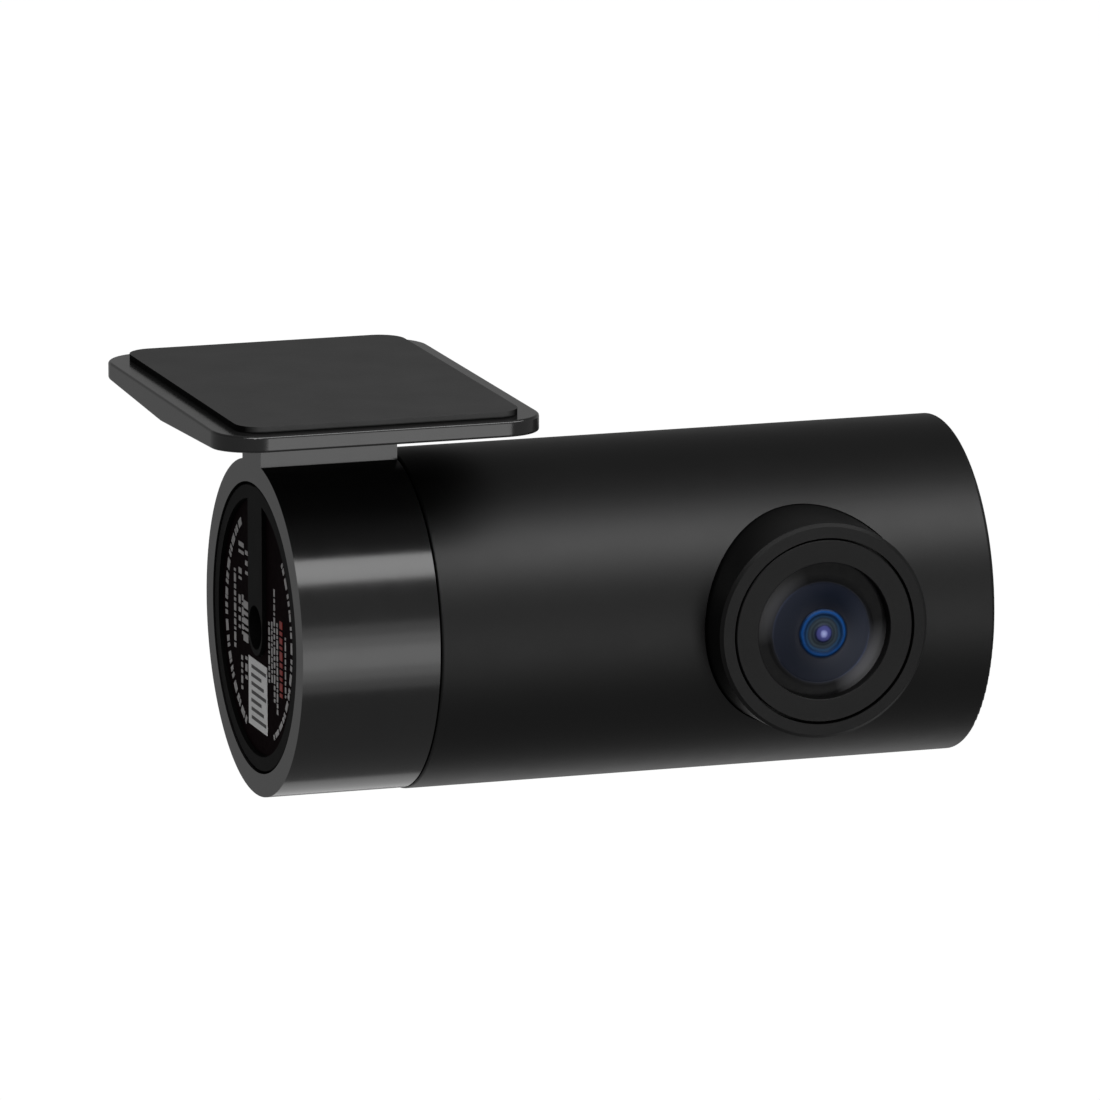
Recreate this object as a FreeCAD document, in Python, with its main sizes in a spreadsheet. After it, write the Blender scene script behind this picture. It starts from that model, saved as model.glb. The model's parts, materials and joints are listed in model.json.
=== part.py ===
import FreeCAD, Part
import os
import re
import Sketcher

# Rear-window dash camera: a round body that turns in the collar of a stick-on bracket.
# Row frame: origin at the centre of the adhesive pad's top face, +Z up, +X along the body
# away from the collar, the lens looks along -Y.  Millimetres.
#
# Three working frames are used:
#   mount   the row frame itself
#   barrel  origin on the turning axis at the collar's outer end; x = row Y, y = row Z, z = row X
#   lens    origin on the lens axis, straight above the turning axis; x = row X, y = row Z, z = row -Y

Vector = FreeCAD.Vector
doc = FreeCAD.newDocument("dash_camera")
sheet = doc.addObject("Spreadsheet::Sheet", "Sizes")

SIZES = [
    # bracket
    ("axis_drop", 22.8), ("collar_r", 15.64), ("collar_len", 13.05), ("collar_bore_r", 13.5),
    ("collar_rib_r", 12.3), ("rib_start", 4.5), ("rib_end", 7.0), ("neck_front", 2.45),
    ("neck_back", 3.5), ("neck_root", 14.3), ("plate_wide", 30.8), ("plate_deep", 41.7),
    ("plate_edge", 1.5), ("plate_ridge", 2.3), ("plate_corner", 4.2), ("plate_round", 0.25),
    ("pad_wide", 26.6), ("pad_deep", 39.05), ("pad_thick", 0.6), ("pad_corner", 2.5),
    ("stop_half", 1.2), ("stop_tip_r", 11.4),
    # body
    ("body_r", 15.75), ("body_len", 66.75), ("body_start", 13.2), ("wall", 1.7),
    ("cavity_start", 15.0), ("spigot_r", 12.22), ("spigot_bore_r", 10.4), ("spigot_start", 3.1),
    ("journal_r", 13.42), ("journal_start", 7.15), ("body_round", 0.35), ("start_round", 0.2),
    ("ring_groove_r", 12.4), ("ring_groove_start", 9.4), ("ring_groove_wide", 1.2),
    ("ring_mid_r", 12.94), ("ring_section_r", 0.5),
    ("stop_groove_r", 11.25), ("groove_mid_angle", 112.5), ("groove_sweep", 150.0),
    ("port_r", 10.4), ("port_boss_r", 11.9), ("port_boss_back", 8.5), ("ear_boss_x", 12.4),
    ("ear_boss_r", 2.2), ("pilot_r", 0.8), ("pilot_deep", 3.8), ("end_seat_r", 14.95),
    ("end_seat_deep", 1.6),
    ("cap_boss_low", 8.4), ("cap_boss_side", 7.27), ("cap_boss_high", 4.2), ("cap_boss_r", 2.2),
    ("cap_boss_end", 11.0), ("cap_pilot_r", 1.0), ("cap_pilot_end", 10.2),
    # end caps
    ("cap_r", 13.3), ("cap_face", 0.1), ("cap_recess_r", 11.95), ("cap_recess", 0.5),
    ("cap_plate_back", 2.9), ("cap_skirt_end", 4.35), ("cap_skirt_bore", 12.3),
    ("cap_rib_half", 2.25), ("cap_rib_below", 2.6), ("cable_hole_r", 2.05), ("cap_clear_r", 1.15),
    ("screw_head_r", 1.9), ("screw_sink_r", 2.0), ("screw_head", 1.0), ("cap_screw_r", 0.98),
    ("cap_screw_end", 9.5),
    ("gasket_in_r", 10.5), ("gasket_out_r", 12.1), ("label_r", 11.8), ("label_thick", 0.12),
    ("label_gap", 0.12), ("end_cap_r", 14.87), ("end_lip_r", 13.95), ("end_lip_bore", 12.6),
    ("end_lip_start", 62.5), ("boss_end", 62.3), ("end_cap_back", 65.15), ("end_seal_r", 13.2),
    ("end_seal_start", 63.4), ("end_seal_wide", 1.0), ("end_cap_round", 0.15),
    # lens group
    ("lens_x", 42.26), ("lens_rise", 0.37), ("lens_front", 19.3), ("bezel_root_r", 10.33),
    ("bezel_flare", 11.7), ("bezel_r", 10.05), ("bezel_bevel", 0.3),
    ("bezel_fall", 0.09), ("bezel_seat_r", 8.72), ("bezel_seat_deep", 1.4),
    ("bezel_bore_r", 7.9), ("flange_r", 10.75), ("flange_back", 6.7), ("flange_thick", 1.5),
    ("seal_groove_r", 9.5), ("seal_groove_back", 10.6), ("seal_groove_wide", 0.9),
    ("seal_mid_r", 9.96), ("seal_section_r", 0.43), ("ear_reach", 14.2), ("ear_half", 2.1),
    ("trim_r", 8.52), ("trim_low", 0.05), ("trim_in_r", 6.4), ("trim_step", 1.6),
    ("trim_sleeve_r", 7.85), ("trim_back", 2.9), ("trim_seat_r", 6.62),
    ("trim_bevel", 0.08), ("trim_lip", 0.06),
    ("glass_r", 6.55), ("glass_front", 17.62), ("glass_back", 16.45), ("glass_sag", 1.45),
    ("glass_hollow_r", 4.83), ("glass_hollow", 1.7),
    ("tube_r", 7.85), ("tube_front", 16.38), ("tube_step", 9.6), ("tube_low_r", 4.9),
    ("tube_back", 4.5), ("tube_bore_r", 3.45), ("tube_seat_r", 2.7), ("tube_seat", 6.9),
    ("baffle_r", 6.25), ("baffle_back", 13.95), ("baffle_wide_r", 4.95), ("baffle_small_r", 2.4),
    ("baffle_edge", 0.15), ("baffle_seat_r", 6.3), ("element_r", 3.4), ("rear_back", 7.0),
    ("rear_front", 8.6),
    ("spacer_front", 9.3), ("third_front", 11.2), ("stop_back", 11.25), ("stop_front", 11.45),
    ("second_back", 11.5), ("second_front", 13.3), ("element_sag", 0.6), ("rear_sag", 0.3),
    ("spacer_in_r", 2.7), ("stop_hole_r", 1.25), ("retainer_in_r", 2.5), ("retainer_front", 13.9),
    # sensor stack
    ("holder_half", 6.5), ("holder_front", 6.6), ("holder_bore_r", 4.95), ("holder_seat", 4.4),
    ("holder_hole_r", 2.6), ("holder_room_x", 9.4), ("holder_room_y", 8.0), ("holder_room", 4.0),
    ("filter_half", 3.0), ("filter_thick", 0.3), ("sensor_x", 7.6), ("sensor_y", 6.0),
    ("sensor_thick", 1.0), ("cover_x", 6.6), ("cover_y", 5.0), ("cover_thick", 0.4),
    ("board_thick", 1.0), ("sensor_board_front", 1.6), ("sensor_board_x", 24.0),
    ("board_y", 22.0), ("sensor_screw_x", 10.2), ("screw_y", 10.0), ("screw_shaft_r", 0.75),
    ("small_head_r", 1.4), ("small_head", 0.9), ("board_hole_r", 0.9), ("screw_reach", 3.4),
    ("ear_screw_end", 12.0), ("slot_long", 1.4), ("slot_wide", 0.36), ("slot_deep", 0.4),
    # main board and chassis, in the barrel frame
    ("rail_front", -0.6), ("rail_back", 3.0), ("rail_low", 8.6), ("rail_high", 11.4),
    ("rail_start", 19.0), ("rail_end", 61.0), ("rail_pilot", 2.6), ("bulkhead_r", 13.9),
    ("bulkhead_start", 17.5),
    ("bulkhead_end", 62.4), ("bulkhead_gap", 5.0), ("bulkhead_gap_back", 6.0),
    ("main_start", 20.0), ("main_end", 60.0), ("tongue_start", 3.4), ("tongue_half", 4.5),
    ("main_screw_one", 22.0), ("main_screw_two", 54.0), ("chip_half", 4.5), ("chip_thick", 1.2),
    ("chip_mid", 41.0), ("memory_mid", 50.0), ("memory_wide", 6.0), ("memory_thick", 0.9),
    ("thermal_thick", 0.8), ("spreader_thick", 0.8), ("spreader_start", 28.0),
    ("spreader_end", 52.0), ("spreader_half", 9.5), ("leg_size", 1.6), ("leg_in", 1.5),
    ("part_count", 6), ("part_pitch", 2.6), ("part_start", 23.5), ("part_long", 1.6),
    ("part_wide", 0.8), ("part_tall", 0.8), ("part_row", 5.2), ("link_wide", 8.0),
    ("link_tall", 3.2), ("link_below", 7.5),
    # cable socket
    ("jack_half", 2.9), ("jack_start", 3.1), ("jack_end", 14.0), ("jack_nose_r", 1.95),
    ("jack_nose", 1.7), ("jack_bore_r", 1.3), ("jack_bore_end", 13.0), ("contact_thick", 0.3),
    ("contact_wide", 1.4), ("contact_start", 5.0), ("contact_pitch", 2.6), ("contact_long", 1.8),
    ("contact_count", 3),
    # shared: a hole's tool runs past its face, a joined block runs into its neighbour,
    # and parts that only rest against each other keep a hair of air
    ("overrun", 1.0), ("bite", 0.4), ("air", 0.02), ("seal_air", 0.05),
]
for row, (alias, size) in enumerate(SIZES, start=1):
    sheet.set("A%d" % row, alias.replace("_", " "))
    sheet.set("B%d" % row, str(size))
    sheet.setAlias("B%d" % row, alias)
doc.recompute()

parts = {}


def bound(text):
    """An expression in sheet names, written out with the sheet's name before each."""
    return re.sub(r"[a-z_]+", lambda word: "Sizes." + word.group(), text)


def number(text):
    return float(sheet.evalExpression(bound(text)))


def place(item, frame, at=("0", "0", "0")):
    """Stand an object in one of the working frames, its base bound to the sheet."""
    x, y, z = at
    if frame == "barrel":
        turn = FreeCAD.Rotation(Vector(1, 1, 1), 120)
        base = (z + " - collar_len / 2", x, y + " - axis_drop")
    elif frame == "lens":
        turn = FreeCAD.Rotation(Vector(1, 0, 0), 90)
        base = (x + " + lens_x", "-1 * (" + z + ")", y + " + lens_rise - axis_drop")
    else:
        turn = FreeCAD.Rotation()
        base = (x, y, z)
    item.Placement = FreeCAD.Placement(Vector(*[number(text) for text in base]), turn)
    for letter, text in zip("xyz", base):
        item.setExpression("Placement.Base." + letter, bound(text))
    return item


def new_body(label, frame):
    body = doc.addObject("PartDesign::Body", label)
    body.Label = label
    return place(body, frame)


def sketch_on(body, plane, name, lift=None):
    """An empty sketch on one of the body's own origin planes, raised by a bound distance."""
    sketch = body.newObject("Sketcher::SketchObject", name)
    face = [item for item in body.Origin.OriginFeatures if item.Role == plane][0]
    sketch.AttachmentSupport = [(face, "")]
    sketch.MapMode = "FlatFace"
    if lift:
        sketch.setExpression("AttachmentOffset.Base.z", bound(lift))
    return sketch


def outline(sketch, points):
    """A closed polygon whose every corner is bound to the sheet."""
    places = [Vector(number(x), number(y), 0) for x, y in points]
    count = len(places)
    for i in range(count):
        sketch.addGeometry(Part.LineSegment(places[i], places[(i + 1) % count]), False)
    for i in range(count):
        sketch.addConstraint(Sketcher.Constraint("Coincident", i, 2, (i + 1) % count, 1))
    for i, (x, y) in enumerate(points):
        for kind, text, name in (("DistanceX", x, "across%d" % i), ("DistanceY", y, "up%d" % i)):
            index = sketch.addConstraint(
                Sketcher.Constraint(kind, -1, 1, i, 1, number(text)))
            sketch.renameConstraint(index, name)
            sketch.setExpression("Constraints." + name, bound(text))
    return sketch


def ring_sketch(sketch, *radii):
    """Concentric circles about the sketch's origin."""
    for i, radius in enumerate(radii):
        sketch.addGeometry(Part.Circle(Vector(), Vector(0, 0, 1), number(radius)), False)
        sketch.addConstraint(Sketcher.Constraint("Coincident", i, 3, -1, 1))
        index = sketch.addConstraint(Sketcher.Constraint("Radius", i, number(radius)))
        sketch.renameConstraint(index, "round%d" % i)
        sketch.setExpression("Constraints.round%d" % i, bound(radius))
    return sketch


def rectangle(x0, x1, y0, y1):
    return [(x0, y0), (x1, y0), (x1, y1), (x0, y1)]


def revolve(body, name, points):
    """Turn a closed outline of (radius, height) points about the body's own z axis."""
    sketch = outline(sketch_on(body, "XZ_Plane", name + "_outline"), points)
    turn = body.newObject("PartDesign::Revolution", name)
    turn.Profile = sketch
    turn.ReferenceAxis = (sketch, ["V_Axis"])
    turn.Angle = 360
    return turn


def pad(body, sketch, length, name):
    feature = body.newObject("PartDesign::Pad", name)
    feature.Profile = sketch
    feature.setExpression("Length", bound(length))
    return feature


def pocket(body, sketch, length, name, upward=True):
    """Cut along the sketch's normal (upward) or against it; the volume has to fall."""
    doc.recompute()
    before = body.Shape.Volume
    feature = body.newObject("PartDesign::Pocket", name)
    feature.Profile = sketch
    feature.Reversed = upward
    feature.setExpression("Length", bound(length))
    doc.recompute()
    if body.Shape.Volume >= before:
        raise RuntimeError(name + " cuts nothing")
    return feature


def round_edges(body, radius, name, wanted):
    """Fillet the body's edges whose middle point passes a test."""
    doc.recompute()
    tip = body.Tip
    names = []
    for i, edge in enumerate(tip.Shape.Edges, start=1):
        if edge.Length > 0 and wanted(edge, edge.CenterOfMass):
            names.append("Edge%d" % i)
    if not names:
        raise RuntimeError(name + " finds no edge")
    feature = body.newObject("PartDesign::Fillet", name)
    feature.Base = (tip, names)
    feature.setExpression("Radius", bound(radius))
    doc.recompute()
    return feature


def keep(label, item):
    item.Label = label
    parts[label] = item
    return item


def turned(label, frame, points):
    body = new_body(label, frame)
    revolve(body, label + "_turn", points)
    return keep(label, body)


def cylinder(name, frame, radius, start, end, x="0", y="0"):
    item = doc.addObject("Part::Cylinder", name)
    item.setExpression("Radius", bound(radius))
    item.setExpression("Height", bound("(%s) - (%s)" % (end, start)))
    return place(item, frame, (x, y, start))


def box(name, frame, x, y, z):
    """A block between the two ends given for each direction."""
    item = doc.addObject("Part::Box", name)
    for size, (low, high) in zip(("Length", "Width", "Height"), (x, y, z)):
        item.setExpression(size, bound("(%s) - (%s)" % (high, low)))
    return place(item, frame, (x[0], y[0], z[0]))


def ball(name, frame, radius, z):
    item = doc.addObject("Part::Sphere", name)
    item.setExpression("Radius", bound(radius))
    return place(item, frame, ("0", "0", z))


def torus(label, frame, middle, section, z):
    item = doc.addObject("Part::Torus", label)
    item.setExpression("Radius1", bound(middle))
    item.setExpression("Radius2", bound(section))
    place(item, frame, ("0", "0", z))
    return keep(label, item)


def fuse(name, items):
    item = doc.addObject("Part::MultiFuse", name)
    item.Shapes = items
    return item


def cut(name, base, tool):
    item = doc.addObject("Part::Cut", name)
    item.Base = base
    item.Tool = tool
    return item


def common(name, items):
    item = doc.addObject("Part::MultiCommon", name)
    item.Shapes = items
    return item


def half(size):
    return ("-1 * %s / 2" % size, "%s / 2" % size)


# ---------------------------------------------------------------- bracket

def mount_bracket():
    """One moulding: collar ring with an inner rib and a stop lug, neck, and plate."""
    body = new_body("mount_bracket", "barrel")
    revolve(body, "collar", [
        ("collar_rib_r", "rib_start"), ("collar_bore_r", "rib_start"), ("collar_bore_r", "0"),
        ("collar_r", "0"), ("collar_r", "collar_len"), ("collar_bore_r", "collar_len"),
        ("collar_bore_r", "rib_end"), ("collar_rib_r", "rib_end")])
    under = "axis_drop - pad_thick"
    neck = outline(sketch_on(body, "XY_Plane", "neck_outline"), rectangle(
        "-1 * neck_front", "neck_back", "neck_root", under + " - plate_edge"))
    pad(body, neck, "collar_len", "neck")
    stop = outline(sketch_on(body, "XY_Plane", "stop_outline", "rib_start"), rectangle(
        "-1 * stop_half", "stop_half", "stop_tip_r", "collar_rib_r + bite"))
    pad(body, stop, "rib_end - rib_start", "stop_lug")
    low, high = half("plate_deep")
    section = outline(sketch_on(body, "XY_Plane", "plate_outline", "collar_len / 2 - plate_wide / 2"), [
        (low, under), (low, under + " - plate_edge"), ("0", under + " - plate_ridge"),
        (high, under + " - plate_edge"), (high, under)])
    pad(body, section, "plate_wide", "plate")
    reach = number("plate_deep / 2")
    top = number(under)
    bottom = number(under + " - plate_edge")

    def corner(edge, middle):
        return abs(abs(middle.x) - reach) < 0.01 and edge.Length < 2

    def rim(edge, middle):
        level = edge.BoundBox.YLength < 0.01
        front_or_back = abs(abs(middle.x) - reach) < 0.01
        return level and (abs(middle.y - top) < 0.01 or front_or_back and abs(middle.y - bottom) < 0.01)

    round_edges(body, "plate_corner", "plate_corners", corner)
    round_edges(body, "plate_round", "plate_rim", rim)
    return keep("mount_bracket", body)


def adhesive_pad():
    body = new_body("adhesive_pad", "mount")
    shape = outline(sketch_on(body, "XY_Plane", "pad_outline", "-1 * pad_thick"),
                    rectangle(*half("pad_wide"), *half("pad_deep")))
    pad(body, shape, "pad_thick", "pad_block")
    round_edges(body, "pad_corner", "pad_corners",
                lambda edge, middle: edge.BoundBox.ZLength > 0.1)
    return keep("adhesive_pad", body)


# ---------------------------------------------------------------- body and caps

def housing_shell():
    """The turned shell: spigot, journal with its ring groove, and the thin-walled body."""
    body = new_body("housing_shell", "barrel")
    inner = "body_r - wall"
    revolve(body, "shell", [
        ("spigot_bore_r", "spigot_start"), ("spigot_r", "spigot_start"),
        ("spigot_r", "journal_start"), ("journal_r", "journal_start"),
        ("journal_r", "ring_groove_start"), ("ring_groove_r", "ring_groove_start"),
        ("ring_groove_r", "ring_groove_start + ring_groove_wide"),
        ("journal_r", "ring_groove_start + ring_groove_wide"), ("journal_r", "body_start"),
        ("body_r", "body_start"), ("body_r", "body_len"), ("end_seat_r", "body_len"),
        ("end_seat_r", "body_len - end_seat_deep"), (inner, "body_len - end_seat_deep"),
        (inner, "cavity_start"), ("spigot_bore_r", "cavity_start")])
    outer, end, start = number("body_r"), number("body_len"), number("body_start")

    def circle_at(height):
        return lambda edge, middle: (abs(middle.z - height) < 0.01
                                     and abs(edge.BoundBox.XLength - 2 * outer) < 0.01)

    round_edges(body, "body_round", "far_edge", circle_at(end))
    round_edges(body, "start_round", "seam_edge", circle_at(start))
    return body


def cap_screw_places():
    """Three screws: one below and two beside the cable socket."""
    return [("0", "-1 * cap_boss_low"), ("cap_boss_side", "cap_boss_high"),
            ("-1 * cap_boss_side", "cap_boss_high")]


def ear_places():
    return ["-1 * ear_boss_x", "ear_boss_x"]


def main_housing():
    """The shell with its lens port, screw bosses and the groove that stops the turn."""
    shell = housing_shell()
    inside = cylinder("boss_limit", "barrel", "body_r - wall / 2", "cavity_start", "boss_end")
    port = cylinder("port_boss", "lens", "port_boss_r", "port_boss_back", "body_r")
    ears = [cylinder("ear_boss%d" % i, "lens", "ear_boss_r", "port_boss_back", "body_r", x)
            for i, x in enumerate(ear_places())]
    front_bosses = common("front_bosses", [fuse("front_boss_blocks", [port] + ears), inside])
    cap_bosses = [cylinder("cap_boss%d" % i, "barrel", "cap_boss_r", "spigot_start",
                           "cap_boss_end", x, y) for i, (x, y) in enumerate(cap_screw_places())]
    solid = fuse("housing_solid", [shell, front_bosses] + cap_bosses)
    tools = [cylinder("lens_port", "lens", "port_r", "port_boss_back - overrun", "body_r + overrun")]
    tools += [cylinder("ear_pilot%d" % i, "lens", "pilot_r", "port_boss_back - overrun",
                       "port_boss_back + pilot_deep", x) for i, x in enumerate(ear_places())]
    tools += [cylinder("cap_pilot%d" % i, "barrel", "cap_pilot_r", "spigot_start - overrun",
                       "cap_pilot_end", x, y) for i, (x, y) in enumerate(cap_screw_places())]
    tools.append(stop_groove())
    return keep("main_housing", cut("main_housing", solid, fuse("housing_holes", tools)))


def stop_groove():
    """An arc of the spigot's surface, open to the cap, that the collar's lug runs in."""
    outer = cylinder("groove_outer", "barrel", "collar_rib_r + bite", "spigot_start - overrun",
                     "journal_start")
    inner = cylinder("groove_inner", "barrel", "stop_groove_r", "spigot_start - 2 * overrun",
                     "journal_start + overrun")
    outer.setExpression("Angle", bound("groove_sweep"))
    start = number("groove_mid_angle - groove_sweep / 2")
    turn = FreeCAD.Rotation(Vector(1, 0, 0), start)
    base = outer.Placement.Base
    outer.Placement = FreeCAD.Placement(base, turn.multiply(outer.Placement.Rotation))
    return cut("stop_groove", outer, inner)


def left_end_cap():
    """Rim, shallow label recess, upright rib with the cable hole, and a skirt behind."""
    recess = "cap_face + cap_recess"
    body = new_body("left_cap_body", "barrel")
    revolve(body, "left_cap_turn", [
        ("0", recess), ("cap_recess_r", recess), ("cap_recess_r", "cap_face"),
        ("cap_r", "cap_face"), ("cap_r", "cap_skirt_end"), ("cap_skirt_bore", "cap_skirt_end"),
        ("cap_skirt_bore", "cap_plate_back"), ("0", "cap_plate_back")])
    edge = number("cap_r")
    round_edges(body, "end_cap_round", "left_cap_edge",
                lambda e, c: abs(c.z - number("cap_face")) < 0.01
                and abs(e.BoundBox.XLength - 2 * edge) < 0.01)
    rib = box("cap_rib", "barrel", ("-1 * cap_rib_half", "cap_rib_half"),
              ("cap_rib_half - cap_rib_below", "cap_recess_r + bite"), ("cap_face", recess + " + bite"))
    rib_end = cylinder("cap_rib_end", "barrel", "cap_rib_half", "cap_face", recess + " + bite",
                       "0", "cap_rib_half - cap_rib_below")
    tools = [cylinder("cable_hole", "barrel", "cable_hole_r", "-1 * overrun", "cap_plate_back + overrun")]
    for i, (x, y) in enumerate(cap_screw_places()):
        tools.append(cylinder("cap_clear%d" % i, "barrel", "cap_clear_r", "0",
                              "cap_plate_back + overrun", x, y))
        tools.append(cylinder("cap_sink%d" % i, "barrel", "screw_sink_r", "0",
                              recess + " + screw_head", x, y))
    solid = fuse("left_cap_solid", [body, rib, rib_end])
    return keep("left_end_cap", cut("left_end_cap", solid, fuse("left_cap_holes", tools)))


def screw(name, frame, x, y, head_back, head_front, head_r, shaft_r, tip):
    """A pan head from head_back to head_front and a shaft that runs on to tip."""
    head = cylinder(name + "_head", frame, head_r, *rising(head_back, head_front), x, y)
    shaft = cylinder(name + "_shaft", frame, shaft_r, *rising(head_front, tip), x, y)
    inward = " + slot_deep" if number(head_front) > number(head_back) else " - slot_deep"
    drive = box(name + "_drive", frame, (x + " - slot_long / 2", x + " + slot_long / 2"),
                (y + " - slot_wide / 2", y + " + slot_wide / 2"), rising(head_back, head_back + inward))
    return cut(name, fuse(name + "_solid", [head, shaft]), drive)


def rising(one, other):
    """Two bound heights, the lower one first."""
    return sorted((one, other), key=number)


def group(label, items):
    return keep(label, fuse(label, items))


def end_cap_screws():
    top = "cap_face + cap_recess"
    group("end_cap_screws", [
        screw("cap_screw%d" % i, "barrel", x, y, top + " + air", top + " + screw_head",
              "screw_head_r", "cap_screw_r", "cap_screw_end")
        for i, (x, y) in enumerate(cap_screw_places())])


def rating_label():
    """A thin disc that fills the recess, with a slot for the upright rib."""
    top = "cap_face + cap_recess - label_thick"
    disc = cylinder("label_disc", "barrel", "label_r", top, "cap_face + cap_recess")
    wide = "(cap_rib_half + label_gap)"
    slot = box("label_slot", "barrel", ("-1 * " + wide, wide),
               ("cap_rib_half - cap_rib_below", "label_r + overrun"), ("0", "cap_recess + overrun"))
    end = cylinder("label_slot_end", "barrel", wide, "0", "cap_recess + overrun", "0",
                   "cap_rib_half - cap_rib_below")
    keep("rating_label", cut("rating_label", disc, fuse("label_slots", [slot, end])))


def ring(label, frame, inner, outer, start, end):
    """A flat ring padded from a two-circle sketch."""
    body = new_body(label, frame)
    sketch = ring_sketch(sketch_on(body, "XY_Plane", label + "_outline", start), outer, inner)
    pad(body, sketch, "(%s) - (%s)" % (end, start), label + "_pad")
    return keep(label, body)


def right_end_cap():
    """An inset disc with a lip that carries the seal."""
    body = turned("right_end_cap", "barrel", [
        ("0", "body_len"), ("end_cap_r", "body_len"), ("end_cap_r", "end_cap_back"),
        ("end_lip_r", "end_cap_back"), ("end_lip_r", "end_seal_start + end_seal_wide"),
        ("end_seal_r", "end_seal_start + end_seal_wide"), ("end_seal_r", "end_seal_start"),
        ("end_lip_r", "end_seal_start"), ("end_lip_r", "end_lip_start"),
        ("end_lip_bore", "end_lip_start"), ("end_lip_bore", "end_cap_back"), ("0", "end_cap_back")])
    edge = number("end_cap_r")
    round_edges(body, "end_cap_round", "right_cap_edge",
                lambda e, c: abs(c.z - number("body_len")) < 0.01
                and abs(e.BoundBox.XLength - 2 * edge) < 0.01)
    ring("right_cap_seal", "barrel", "end_seal_r + air", "body_r - wall - air",
         "end_seal_start + seal_air", "end_seal_start + end_seal_wide - seal_air")


def body_parts():
    main_housing()
    left_end_cap()
    end_cap_screws()
    rating_label()
    right_end_cap()
    ring("end_cap_gasket", "barrel", "gasket_in_r", "gasket_out_r", "cap_plate_back", "spigot_start")
    torus("friction_ring", "barrel", "ring_mid_r", "ring_section_r",
          "ring_groove_start + ring_groove_wide / 2")


# ---------------------------------------------------------------- lens

def lens_barrel():
    """The bezel, a little wider at its root, with its flange and two screw ears."""
    body = new_body("bezel_turn", "lens")
    seat = "lens_front - bezel_seat_deep"
    flange_top = "flange_back + flange_thick"
    edge = "lens_front - bezel_fall"
    revolve(body, "bezel", [
        ("bezel_bore_r", "flange_back"), ("flange_r", "flange_back"), ("flange_r", flange_top),
        ("bezel_root_r", flange_top), ("bezel_root_r", "seal_groove_back"),
        ("seal_groove_r", "seal_groove_back"),
        ("seal_groove_r", "seal_groove_back + seal_groove_wide"),
        ("bezel_root_r", "seal_groove_back + seal_groove_wide"), ("bezel_root_r", "bezel_flare"),
        ("bezel_r", edge + " - bezel_bevel"),
        ("bezel_r - bezel_bevel", edge), ("bezel_seat_r", "lens_front"), ("bezel_seat_r", seat),
        ("bezel_bore_r", seat)])
    ears = box("bezel_ears", "lens", ("-1 * ear_reach", "ear_reach"), ("-1 * ear_half", "ear_half"),
               ("flange_back", flange_top))
    tools = [cylinder("bezel_bore", "lens", "bezel_bore_r", "flange_back - overrun",
                      flange_top + " + overrun")]
    tools += [cylinder("ear_hole%d" % i, "lens", "board_hole_r", "flange_back - overrun",
                       flange_top + " + overrun", x) for i, x in enumerate(ear_places())]
    solid = fuse("bezel_solid", [body, ears])
    keep("lens_barrel", cut("lens_barrel", solid, fuse("bezel_holes", tools)))


def element(label, radius, back, front, front_sag, back_sag):
    """A lens element: a disc dished on both sides by spheres through its rim."""
    blank = cylinder(label + "_blank", "lens", radius, back, front)
    shapes = [blank]
    for side, sag in (("front", front_sag), ("back", back_sag)):
        if sag:
            curve = "((%s * %s + %s * %s) / (2 * %s))" % (radius, radius, sag, sag, sag)
            middle = "%s - %s" % (front, curve) if side == "front" else "%s + %s" % (back, curve)
            shapes.append(ball(label + "_" + side, "lens", curve, middle))
    return common(label, shapes)


def front_lens_element():
    """A domed front and a hollow back, as on a wide-angle camera."""
    dome = element("front_dome", "glass_r", "glass_back", "glass_front + glass_sag", "glass_sag", None)
    curve = ("((glass_hollow_r * glass_hollow_r + glass_hollow * glass_hollow)"
             " / (2 * glass_hollow))")
    hollow = ball("glass_hollow_ball", "lens", curve, "glass_back + glass_hollow - " + curve)
    keep("front_lens_element", cut("front_lens_element", dome, hollow))


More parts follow.
